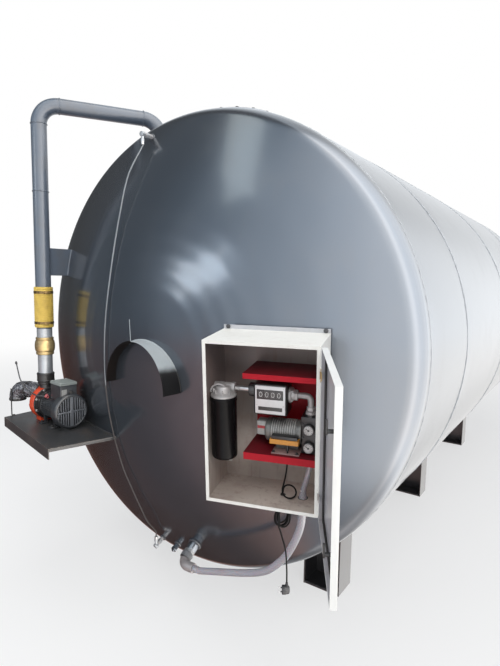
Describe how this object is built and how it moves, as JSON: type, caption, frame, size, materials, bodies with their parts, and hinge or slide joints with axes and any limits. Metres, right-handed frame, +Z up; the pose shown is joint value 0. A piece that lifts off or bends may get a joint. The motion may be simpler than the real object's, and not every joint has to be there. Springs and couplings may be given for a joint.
{
  "type": "horizontal fuel storage tank with dispensing cabinet",
  "caption": "Horizontal welded steel fuel tank on channel legs, with dished ends, a manhole, an over-the-top fill pipe with electric pump, and an open dispensing cabinet.",
  "frame": {"origin": "centre of the footprint's box, at the underside of the legs", "axes": "+Z up, +Y along the tank's axis from the front head with the cabinet to the rear head, +X to the right seen from the front"},
  "size_m": [2.515, 5.7588, 2.9058],
  "materials": {
    "tank_paint": "glossy",
    "pipe_paint": "satin",
    "dark_steel": "worn satin",
    "cabinet_paint": "satin",
    "red_paint": "satin",
    "black_plastic": "glossy",
    "rubber": "matt",
    "bare_metal": "cast",
    "brass": "dull",
    "yellow": "matt",
    "orange_red": "satin",
    "orange": "satin",
    "motor_grey": "satin",
    "clear_hose": "braided, clear"
  },
  "bodies": {
    "tank": {"front_head": "tank_paint", "rear_head": "tank_paint", "shell_course_1": "tank_paint", "shell_course_2": "tank_paint", "shell_course_3": "tank_paint", "shell_course_4": "tank_paint", "manhole_neck": "tank_paint", "manhole_lid": "tank_paint", "hose_hood": "tank_paint", "outlet_stub": "tank_paint", "drain_stub": "tank_paint", "fill_pipe": "pipe_paint", "pipe_bracket": "pipe_paint", "leg_1_left": "dark_steel", "leg_1_right": "dark_steel", "leg_2_left": "dark_steel", "leg_2_right": "dark_steel", "leg_3_left": "dark_steel", "leg_3_right": "dark_steel", "pump_shelf": "dark_steel", "priming_wire": "dark_steel", "cabinet_box": "cabinet_paint", "cabinet_mount": "cabinet_paint", "red_bracket": "red_paint", "filter_canister": "black_plastic", "flow_meter": "black_plastic", "transfer_pump": "black_plastic", "power_plug": "black_plastic", "suction_elbow": "rubber", "power_cord_upper": "rubber", "cord_bundle": "rubber", "power_cord_lower": "rubber", "filter_head": "bare_metal", "filter_nipple": "bare_metal", "meter_elbow": "bare_metal", "outlet_elbow": "bare_metal", "gauge_top_fitting": "bare_metal", "gauge_low_fitting": "bare_metal", "brass_coupling": "brass", "hose_sleeve": "yellow", "pump_volute": "orange_red", "switch_bar": "orange", "pump_motor": "motor_grey", "motor_fan_cover": "motor_grey", "riser_nipple": "motor_grey", "transfer_motor": "motor_grey", "suction_hose": "clear_hose", "gauge_tube": "clear_hose"},
    "door": {"cabinet_door": "cabinet_paint", "door_gasket": "rubber"},
    "latch_upper": {"door_latch_upper": "black_plastic"},
    "latch_lower": {"door_latch_lower": "black_plastic"}
  },
  "joints": [
    {"name": "door_hinge", "type": "hinge", "parent": "tank", "child": "door", "pos_m": [0.99907, -2.4795, 1.62525], "axis": [0.0274, -0.087, 0.9958], "range_deg": [-103.5, 16.5]},
    {"name": "latch_upper_turn", "type": "hinge", "parent": "door", "child": "latch_upper", "pos_m": [1.2124, -2.82787, 1.44336], "axis": [-0.8575, -0.514, -0.0213], "range_deg": [-90, 0]},
    {"name": "latch_lower_turn", "type": "hinge", "parent": "door", "child": "latch_lower", "pos_m": [1.20185, -2.79439, 1.05996], "axis": [-0.8575, -0.514, -0.0213], "range_deg": [-90, 0]}
  ]
}
